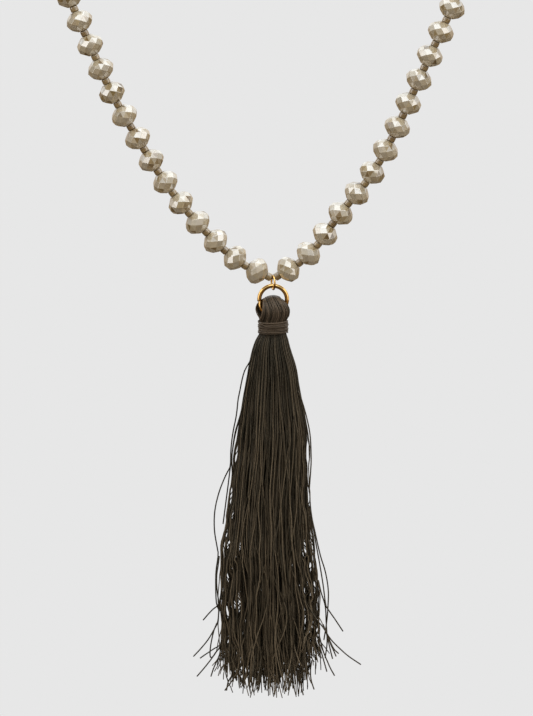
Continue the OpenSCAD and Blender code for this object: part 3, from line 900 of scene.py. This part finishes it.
class NECKLACE_OT_winding(bpy.types.Operator):
    """Winds the binding thread round the neck, turn against turn"""
    bl_idname = "necklace.winding"
    bl_label = "Neck Winding"

    def execute(self, context):
        settings = context.scene.necklace_tassel
        low, high = box_mm("neck_binding")
        thread = settings.winding_width / MM
        radius = (high - low)[0] / 2 - thread / 2
        turns = int((high - low)[2] / thread)
        steps = 56
        points = steps * turns + 1
        angle = np.linspace(0, 2 * np.pi * turns, points)
        climb = np.linspace(low[2] + thread / 2, high[2] - thread / 2, points)
        # Hand wound: the turns lie unevenly, by about a tenth of a millimetre
        wander = 0.07 * np.sin(angle * 1.37) + 0.06 * np.sin(angle * 0.41 + 1)
        out = radius - 0.05 + 0.09 * np.sin(angle * 0.73)
        wound = np.stack([DROP[0] + out * np.cos(angle), DROP[1] + out * np.sin(angle), climb + wander],
                         axis=1)
        # The last turn crosses the others: it comes down from the wearer's right over the
        # front, and is tucked under itself round the back
        last = np.radians(np.linspace(165, 560, steps + 1))
        way = np.linspace(0, 1, steps + 1)
        # Over the front it stands a third of a millimetre proud of them, and both ends are tucked in
        over = radius + 0.06 + 0.26 * np.maximum(-np.sin(last), 0)
        tucked = 0.4
        over -= tucked * np.clip(1 - np.minimum(way, 1 - way) / 0.06, 0, 1)
        # Its way down, in mm under the waist, from where it starts and over the next 80 degrees
        under = 0.25 + 1.25 * eased((last - math.pi) / np.radians(80))
        crossing = np.stack([DROP[0] + over * np.cos(last), DROP[1] + over * np.sin(last), high[2] - under],
                            axis=1)
        # Each turn catches the light in its own way
        each = [wound[steps * turn:steps * (turn + 1) + 1] for turn in range(turns)]
        tones = [0.35 + 0.5 * (turn * GOLDEN_STEP % 1) for turn in range(turns)] + [0.6]
        # Drawn thinner than the thread is, so that the turns show apart
        drawn = thread / 2 * 0.86
        sides = 10
        piece = tubes("neck_winding", each + [crossing], drawn, sides, UPWARDS, bent_rayon(settings), "drop",
                      tones)
        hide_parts("neck_binding")
        return {"FINISHED"}


class NECKLACE_OT_stage(bpy.types.Operator):
    """Sets the floor, the soft studio light and the camera"""
    bl_idname = "necklace.stage"
    bl_label = "Studio"

    def floor(self, settings):
        """Lays the paper sweep on the floor."""
        radius = 1.1
        depth = -0.62
        bpy.ops.mesh.primitive_circle_add(vertices=96, radius=radius, fill_type="NGON",
                                          location=(0, DROP[1] * MM, depth))
        floor = bpy.context.active_object
        floor.name = "paper_floor"
        floor.data.materials.append(seamless_paper(settings, radius))
        # The room under the beads mirrors dark in them, as in the photo
        floor.visible_glossy = False

    def softbox(self, name, place, size, power, tint):
        """Hangs a softbox at a place from the drop, in metres, and turns it to the drop."""
        light = bpy.data.lights.new(name, "AREA")
        light.shape = "RECTANGLE"
        light.size, light.size_y = size
        light.energy = power
        light.color = linear(tint)[:3]
        lamp = bpy.data.objects.new(name, light)
        lamp.location = Vector(DROP * MM) + Vector(place)
        lamp.rotation_euler = (-Vector(place)).to_track_quat("-Z", "Y").to_euler()
        lamp.visible_camera = False
        bpy.context.scene.collection.objects.link(lamp)

    def room(self, settings):
        """Sets the light of the room, which the beads mirror, and the plain backdrop behind them."""
        world = bpy.data.worlds.new("studio")
        bpy.context.scene.world = world
        world.use_nodes = True
        tree = world.node_tree
        tree.nodes.clear()
        # The room is bright from eye level up, and dark below and at its two side walls
        direction = add_node(tree, "ShaderNodeSeparateXYZ", {
            "Vector": add_node(tree, "ShaderNodeTexCoord").outputs["Generated"]})
        height = add_node(tree, "ShaderNodeMapRange", {"Value": direction.outputs["Z"], "From Min": -0.6,
                                                       "From Max": 0.5, "To Min": 0.05, "To Max": 0.9})
        sideways = add_node(tree, "ShaderNodeMath", {0: direction.outputs["X"]}, operation="ABSOLUTE")
        walls = add_node(tree, "ShaderNodeMapRange", {"Value": sideways.outputs["Value"], "From Min": 0.45,
                                                      "From Max": 0.8, "To Min": 1.0, "To Max": 0.35})
        # and dark again in front, where the lens stands between black flags
        front = add_node(tree, "ShaderNodeMapRange", {"Value": direction.outputs["Y"], "From Min": -0.985,
                                                      "From Max": -0.92, "To Min": 0.06, "To Max": 1.0})
        sides = add_node(tree, "ShaderNodeMath", {0: walls.outputs["Result"], 1: front.outputs["Result"]},
                         operation="MULTIPLY")
        level = add_node(tree, "ShaderNodeMath", {0: height.outputs["Result"], 1: sides.outputs["Value"]},
                         operation="MULTIPLY")
        # Behind stands the bright backdrop, which lights every edge
        behind = add_node(tree, "ShaderNodeMapRange", {"Value": direction.outputs["Y"], "From Min": 0.1,
                                                       "From Max": 0.5, "To Min": 0.0, "To Max": 1.7})
        above = add_node(tree, "ShaderNodeMapRange", {"Value": direction.outputs["Z"], "From Min": -0.3,
                                                      "From Max": 0.5})
        backdrop = add_node(tree, "ShaderNodeMath", {0: behind.outputs["Result"],
                                                     1: above.outputs["Result"]}, operation="MULTIPLY")
        light = add_node(tree, "ShaderNodeMath", {0: level.outputs["Value"], 1: backdrop.outputs["Value"]},
                         operation="MAXIMUM")
        # The light from the ceiling is cool, and what comes back from below is warm
        ceiling = add_node(tree, "ShaderNodeMapRange", {"Value": direction.outputs["Z"], "From Min": -0.3,
                                                        "From Max": 0.4})
        shade = add_node(tree, "ShaderNodeMix", {"Factor": ceiling.outputs["Result"],
                                                 "A": linear("#FFD8A6"), "B": linear("#EFF7FF")},
                         data_type="RGBA")
        lit = add_node(tree, "ShaderNodeBackground", {"Color": shade.outputs["Result"],
                                                      "Strength": light.outputs["Value"]})
        # Seen straight, the room is the plain colour of the backdrop
        seen = add_node(tree, "ShaderNodeBackground", {"Color": settings.backdrop, "Strength": 1.0})
        rays = add_node(tree, "ShaderNodeLightPath")
        both = add_node(tree, "ShaderNodeMixShader", {"Fac": rays.outputs["Is Camera Ray"]})
        tree.links.new(lit.outputs["Background"], both.inputs[1])
        tree.links.new(seen.outputs["Background"], both.inputs[2])
        tree.links.new(both.outputs["Shader"], add_node(tree, "ShaderNodeOutputWorld").inputs["Surface"])

    def camera(self, settings):
        """Stands the camera before the tassel, a little above it."""
        data = bpy.data.cameras.new("camera")
        # The sensor's width lies along the picture's longer side, its height
        data.sensor_width = 36
        data.lens = data.sensor_width * settings.distance / settings.frame_height
        data.clip_start = 0.1
        camera = bpy.data.objects.new("camera", data)
        # The picture's middle lies 2 mm to the wearer's right of the drop and 24.2 mm under it
        aim = Vector((DROP + [-2.0, 0, -24.2]) * MM)
        back = Vector((0, -math.cos(settings.above), math.sin(settings.above)))
        camera.location = aim + settings.distance * back
        camera.rotation_euler = (math.radians(90) - settings.above, 0, 0)
        bpy.context.scene.collection.objects.link(camera)
        bpy.context.scene.camera = camera

    def execute(self, context):
        settings = context.scene.necklace_studio
        self.floor(settings)
        self.softbox("top_softbox", (0.1, -0.15, 0.85), (1.3, 1.2), settings.top_light, "#F1F9FF")
        self.softbox("left_softbox", (-0.95, -0.4, 0.35), (0.5, 1.2), settings.side_light, "#FFFFFF")
        self.softbox("right_softbox", (0.95, -0.4, 0.35), (0.5, 1.2), settings.side_light, "#FFFFFF")
        self.room(settings)
        context.scene.view_settings.view_transform = "Standard"
        self.camera(settings)
        return {"FINISHED"}


STEPS = (NECKLACE_OT_stage, NECKLACE_OT_rondelles, NECKLACE_OT_seed_beads, NECKLACE_OT_thread,
         NECKLACE_OT_jump_rings, NECKLACE_OT_head, NECKLACE_OT_winding, NECKLACE_OT_skirt,
         NECKLACE_OT_strays)
GROUPS = {"necklace_glass": GlassSettings, "necklace_rings": RingSettings, "necklace_tassel": TasselSettings,
          "necklace_studio": StudioSettings}


class NECKLACE_PT_panel(bpy.types.Panel):
    """Lists the necklace's pieces and their settings"""
    bl_idname = "NECKLACE_PT_panel"
    bl_label = "Tassel Necklace"
    bl_space_type = "VIEW_3D"
    bl_region_type = "UI"
    bl_category = "Necklace"

    def draw(self, context):
        for step in STEPS:
            self.layout.operator(step.bl_idname)
        for name, group in GROUPS.items():
            box = self.layout.box()
            settings = getattr(context.scene, name)
            for prop in group.__annotations__:
                box.prop(settings, prop)


def register():
    """Registers the settings, the operators and the panel."""
    for cls in (*GROUPS.values(), *STEPS, NECKLACE_PT_panel):
        bpy.utils.register_class(cls)
    for name, group in GROUPS.items():
        setattr(bpy.types.Scene, name, PointerProperty(type=group))


def unregister():
    """Takes the settings, the operators and the panel away again."""
    for name in GROUPS:
        delattr(bpy.types.Scene, name)
    for cls in (NECKLACE_PT_panel, *reversed(STEPS), *reversed(GROUPS.values())):
        bpy.utils.unregister_class(cls)


def main():
    """Makes every piece in order."""
    register()
    for step in STEPS:
        category, name = step.bl_idname.split(".")
        getattr(getattr(bpy.ops, category), name)()


if __name__ == "__main__":
    main()
